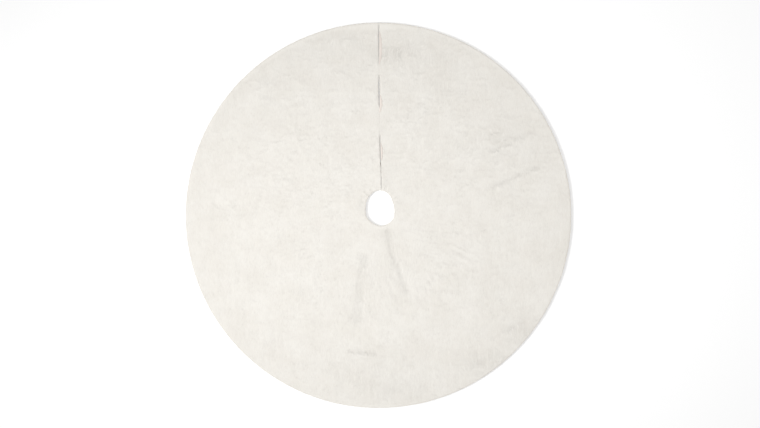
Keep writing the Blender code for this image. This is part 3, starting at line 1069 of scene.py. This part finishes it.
def pad_base(name, low, high, bottom, top, material):
    """A tape's woven base, with its corners rounded."""
    half = (high.y - low.y) / 2
    side = across_tape(half, (0, 0.0003, 0.0008, 0.0015), 0.0025, 12)
    inset = corner_inset(side, half, TAPE_CORNER)
    share = np.linspace(0, 1, 40)[:, None]
    x = low.x + inset[None, :] + share * (high.x - low.x - 2 * inset[None, :])
    y = (low.y + high.y) / 2 + side[None, :] + 0 * share
    ripple = 0.00004 * np.cos(2 * math.pi * x / 0.0012)
    return closed_sheet(name, x, y, top + ripple, bottom + ripple, material)


def grid_places(low, high, pitch, inset, height, rng):
    """Slightly uneven places over a box's plan, with an angle for each."""
    xs = np.arange(low.x + inset, high.x - inset, pitch)
    ys = np.arange(low.y + inset, high.y - inset, pitch)
    x, y = (part.ravel() for part in np.meshgrid(xs, ys))
    x = x + rng.uniform(-0.15, 0.15, len(x)) * pitch
    y = y + rng.uniform(-0.15, 0.15, len(y)) * pitch
    return np.stack([x, y, np.full(len(x), height)], axis=1), rng.normal(0, 0.25, len(x))


def add_hook_pad(number):
    """The hook side of a closure: a stiff tape with rows of little hooks."""
    low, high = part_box(f"hook_pad_{number}")
    base = pad_base(f"hook_tape_{number}", low, high, low.z - LAYER_GAP, low.z + TAPE_BASE, HOOK_TAPE)
    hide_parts(f"hook_pad_{number}")
    rng = np.random.default_rng(200 + number)
    places, angles = grid_places(low, high, HOOK_PITCH, 0.0026, low.z + TAPE_BASE, rng)
    angles = angles + np.where(rng.uniform(0, 1, len(angles)) > 0.5, 0.0, math.pi)
    tall = high.z - low.z - TAPE_BASE
    path = [
        (0, -0.0001),
        (0, 0.55 * tall),
        (0.00012, 0.85 * tall),
        (0.00034, 0.88 * tall),
        (0.00048, 0.60 * tall),
    ]
    hooks = scattered_tubes(f"hooks_{number}", places, angles, path, HOOK_RADIUS, HOOK_TAPE)
    for piece in (base, hooks):
        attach(piece, f"tab_{number}")


def add_loop_pad(number):
    """The loop side of a closure: a soft tape sewn to the lining, with fuzzy loops facing down."""
    low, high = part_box(f"loop_pad_{number}")
    base = pad_base(f"loop_tape_{number}", low, high, high.z - TAPE_BASE, high.z + LAYER_GAP, LOOP_TAPE)
    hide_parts(f"loop_pad_{number}")
    rng = np.random.default_rng(300 + number)
    places, _ = grid_places(low, high, LOOP_PITCH, 0.0022, high.z - TAPE_BASE, rng)
    angles = rng.uniform(0, 2 * math.pi, len(places))
    deep = high.z - low.z - TAPE_BASE
    path = [
        (-0.0005, 0.0001),
        (-0.0006, -0.5 * deep),
        (-0.0002, -0.9 * deep),
        (0.0003, -0.8 * deep),
        (0.0006, -0.4 * deep),
        (0.0004, 0.0001),
    ]
    loops = scattered_tubes(f"loops_{number}", places, angles, path, LOOP_RADIUS, LOOP_TAPE)
    seam = stitched_lines(f"loop_seam_{number}", rectangle_lines(low, high, 0.0012), high.z - TAPE_BASE)
    for piece in (base, loops, seam):
        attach(piece, "back_left")


def add_care_label():
    """The blank satin label, sewn along its upper end and curling a little at the other."""
    low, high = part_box("care_label")
    x = np.linspace(low.x, high.x, 16)[None, :]
    y = np.linspace(low.y, high.y, 36)[:, None]
    x, y = x + 0 * y, y + 0 * x
    free = 1 - (y - low.y) / (high.y - low.y)
    curl = -0.0012 * free**2 - 0.0004 * free * np.cos((x - low.x) / (high.x - low.x) * 2 * math.pi)
    top = high.z + curl
    label = closed_sheet("care_label_satin", x, y, top, top - LABEL_THICKNESS, SATIN)
    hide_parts("care_label")
    lines = [((low.x + 0.001, high.y - inset), (high.x - 0.001, high.y - inset)) for inset in (0.002, 0.0035)]
    seam = stitched_lines("care_label_seam", lines, high.z - 0.0003)
    for piece in (label, seam):
        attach(piece, "back_left")


def build_closures():
    """The closure tabs with their tapes, and the care label."""
    for number in TAB_NUMBERS:
        add_webbing(number)
        add_hook_pad(number)
        add_loop_pad(number)
    add_care_label()


# ======== picture
def set_camera():
    """Looks straight down on the skirt, as the photograph does."""
    data = bpy.data.cameras.new("camera")
    data.lens = CAMERA_LENS
    data.sensor_width = SENSOR_WIDTH
    camera = bpy.data.objects.new("camera", data)
    height = FRAME_WIDTH * CAMERA_LENS / SENSOR_WIDTH
    camera.location = (*CAMERA_CENTRE, FUR_TOP + height)
    data.clip_end = 50.0
    bpy.context.scene.collection.objects.link(camera)
    bpy.context.scene.camera = camera


def add_key_light():
    """A large soft light from the left, aimed at the skirt and brightest in the middle of its beam."""
    data = bpy.data.lights.new("key", "AREA")
    data.size = KEY_SIZE
    data.energy = KEY_POWER
    data.spread = math.radians(KEY_SPREAD)
    light = bpy.data.objects.new("key", data)
    light.location = KEY_PLACE
    light.rotation_euler = (Vector(KEY_AIM) - Vector(KEY_PLACE)).to_track_quat("-Z", "Y").to_euler()
    bpy.context.scene.collection.objects.link(light)


def light_studio():
    """A white floor, white surroundings and the key light."""
    floor_material, shader = principled("studio_floor", (0.95, 0.95, 0.95), 0.9)
    shader.inputs["Emission Color"].default_value = WHITE
    shader.inputs["Emission Strength"].default_value = FLOOR_GLOW
    bpy.ops.mesh.primitive_plane_add(size=FLOOR_SIZE, location=(0, 0, cad_low.z - FLOOR_DROP))
    floor = bpy.context.object
    floor.name = "floor"
    floor.data.materials.append(floor_material)
    world = bpy.data.worlds.new("studio")
    world.use_nodes = True
    background = world.node_tree.nodes["Background"]
    background.inputs["Color"].default_value = WHITE
    background.inputs["Strength"].default_value = SURROUND_STRENGTH
    scene = bpy.context.scene
    scene.world = world
    scene.view_settings.view_transform = "Standard"
    add_key_light()


set_camera()
light_studio()
build_cloth()
build_closures()
